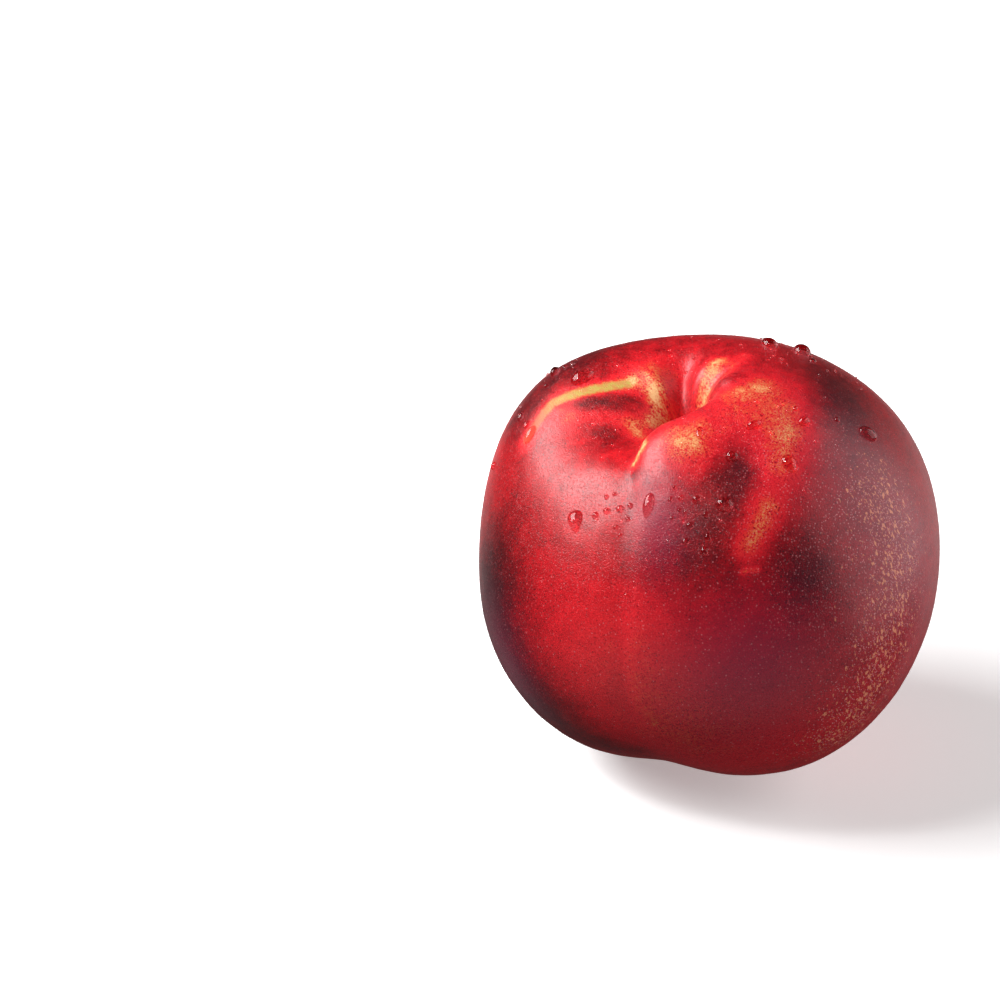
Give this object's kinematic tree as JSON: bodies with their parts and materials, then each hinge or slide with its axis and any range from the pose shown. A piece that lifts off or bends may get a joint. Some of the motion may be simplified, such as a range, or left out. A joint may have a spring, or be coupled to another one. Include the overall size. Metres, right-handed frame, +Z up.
{
  "type": "nectarine",
  "caption": "Whole ripe nectarine, slightly flattened sphere with a pleated stem cavity, a suture groove and full cheeks, leaning on a small flat spot.",
  "frame": {"origin": "middle of the footprint, on the surface that the fruit rests on", "axes": "+Z up; the suture side faces -Y, a little to the left; the stem cavity points up, leaning to -X and -Y"},
  "size_m": [0.0706, 0.0712, 0.0674],
  "materials": {
    "skin": "smooth waxy fruit skin, semi-gloss, deep red blush with yellow marks, orange flecks and pale pores",
    "water": "clear wet drops that stand on the skin"
  },
  "bodies": {
    "root": {"nectarine": "skin"}
  },
  "joints": []
}
